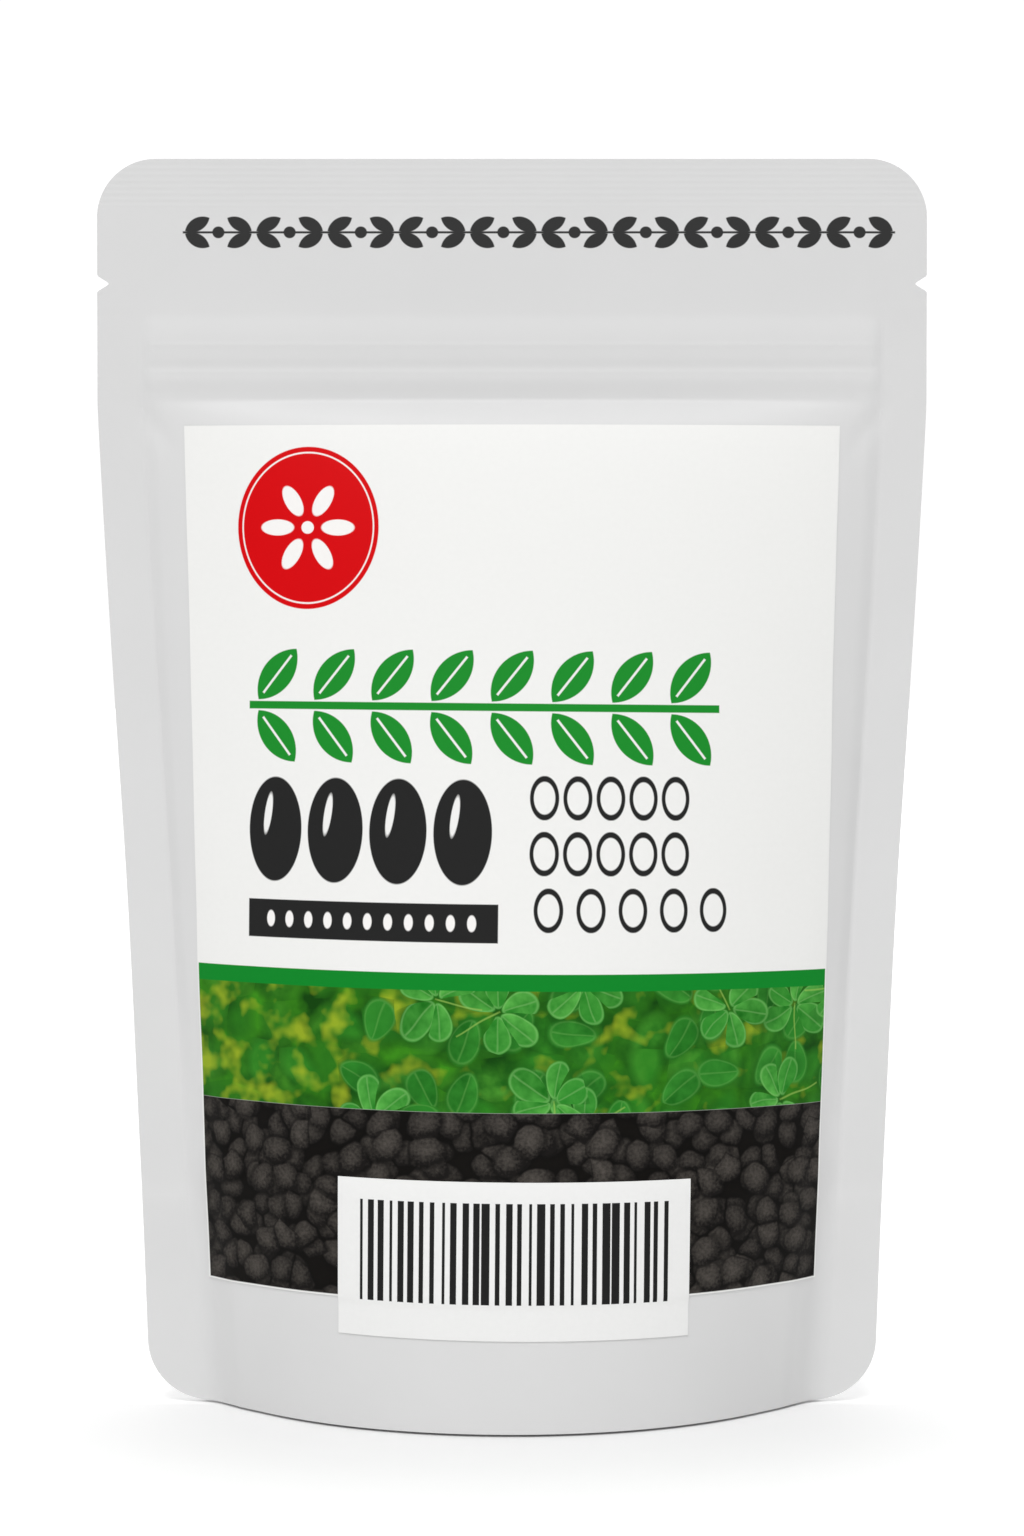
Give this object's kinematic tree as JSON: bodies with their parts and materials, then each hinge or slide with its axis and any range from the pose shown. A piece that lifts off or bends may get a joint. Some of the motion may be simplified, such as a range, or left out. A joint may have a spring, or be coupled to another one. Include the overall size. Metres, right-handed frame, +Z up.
{
  "type": "stand-up pouch",
  "caption": "Filled stand-up zip pouch of matte laminated film with a bottom gusset, tear notches, a front label, a bar sticker and loose seeds inside.",
  "frame": {"origin": "middle of the foot, on the surface that the pouch stands on", "axes": "+Z up the pouch, -Y towards the front with the label, +X to the right seen from the front"},
  "size_m": [0.12, 0.0502, 0.18],
  "materials": {
    "film": "matt laminated packaging film, light grey, with soft folds and heat-sealed edges",
    "zip_plastic": "milky extruded polyethylene",
    "label_paper": null,
    "sticker_paper": "white thermal paper with plain black bars",
    "seed_coat": "dry dark seed coat, slightly rough"
  },
  "bodies": {
    "root": {"front_panel": "film", "back_panel": "film", "bottom_gusset": "film", "zip_tongue_strip": "zip_plastic", "zip_groove_strip": "zip_plastic", "front_label": "label_paper", "bar_sticker": "sticker_paper", "seeds": "seed_coat"}
  },
  "joints": []
}
